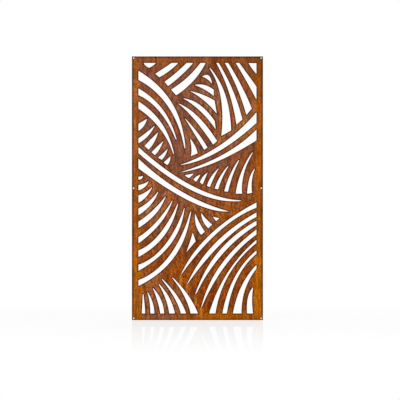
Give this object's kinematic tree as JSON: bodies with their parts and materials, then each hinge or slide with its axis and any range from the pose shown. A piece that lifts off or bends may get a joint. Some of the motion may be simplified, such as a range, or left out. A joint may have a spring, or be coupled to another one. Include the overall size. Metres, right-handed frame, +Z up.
{
  "type": "laser cut metal screen",
  "caption": "Tall flat sheet of weathered steel with a plain border, a window of curved tapering slots laid out in fans, and open fixing holes up both sides.",
  "frame": {"origin": "middle of the sheet's foot edge, halfway through its thickness", "axes": "+X along the width, to the right as seen from the front; -Y out of the front face; +Z up the height"},
  "size_m": [0.895, 0.002, 1.8],
  "materials": {
    "weathered_steel": "dull orange and brown rust patina"
  },
  "bodies": {
    "root": {"screen_panel": "weathered_steel"}
  },
  "joints": []
}
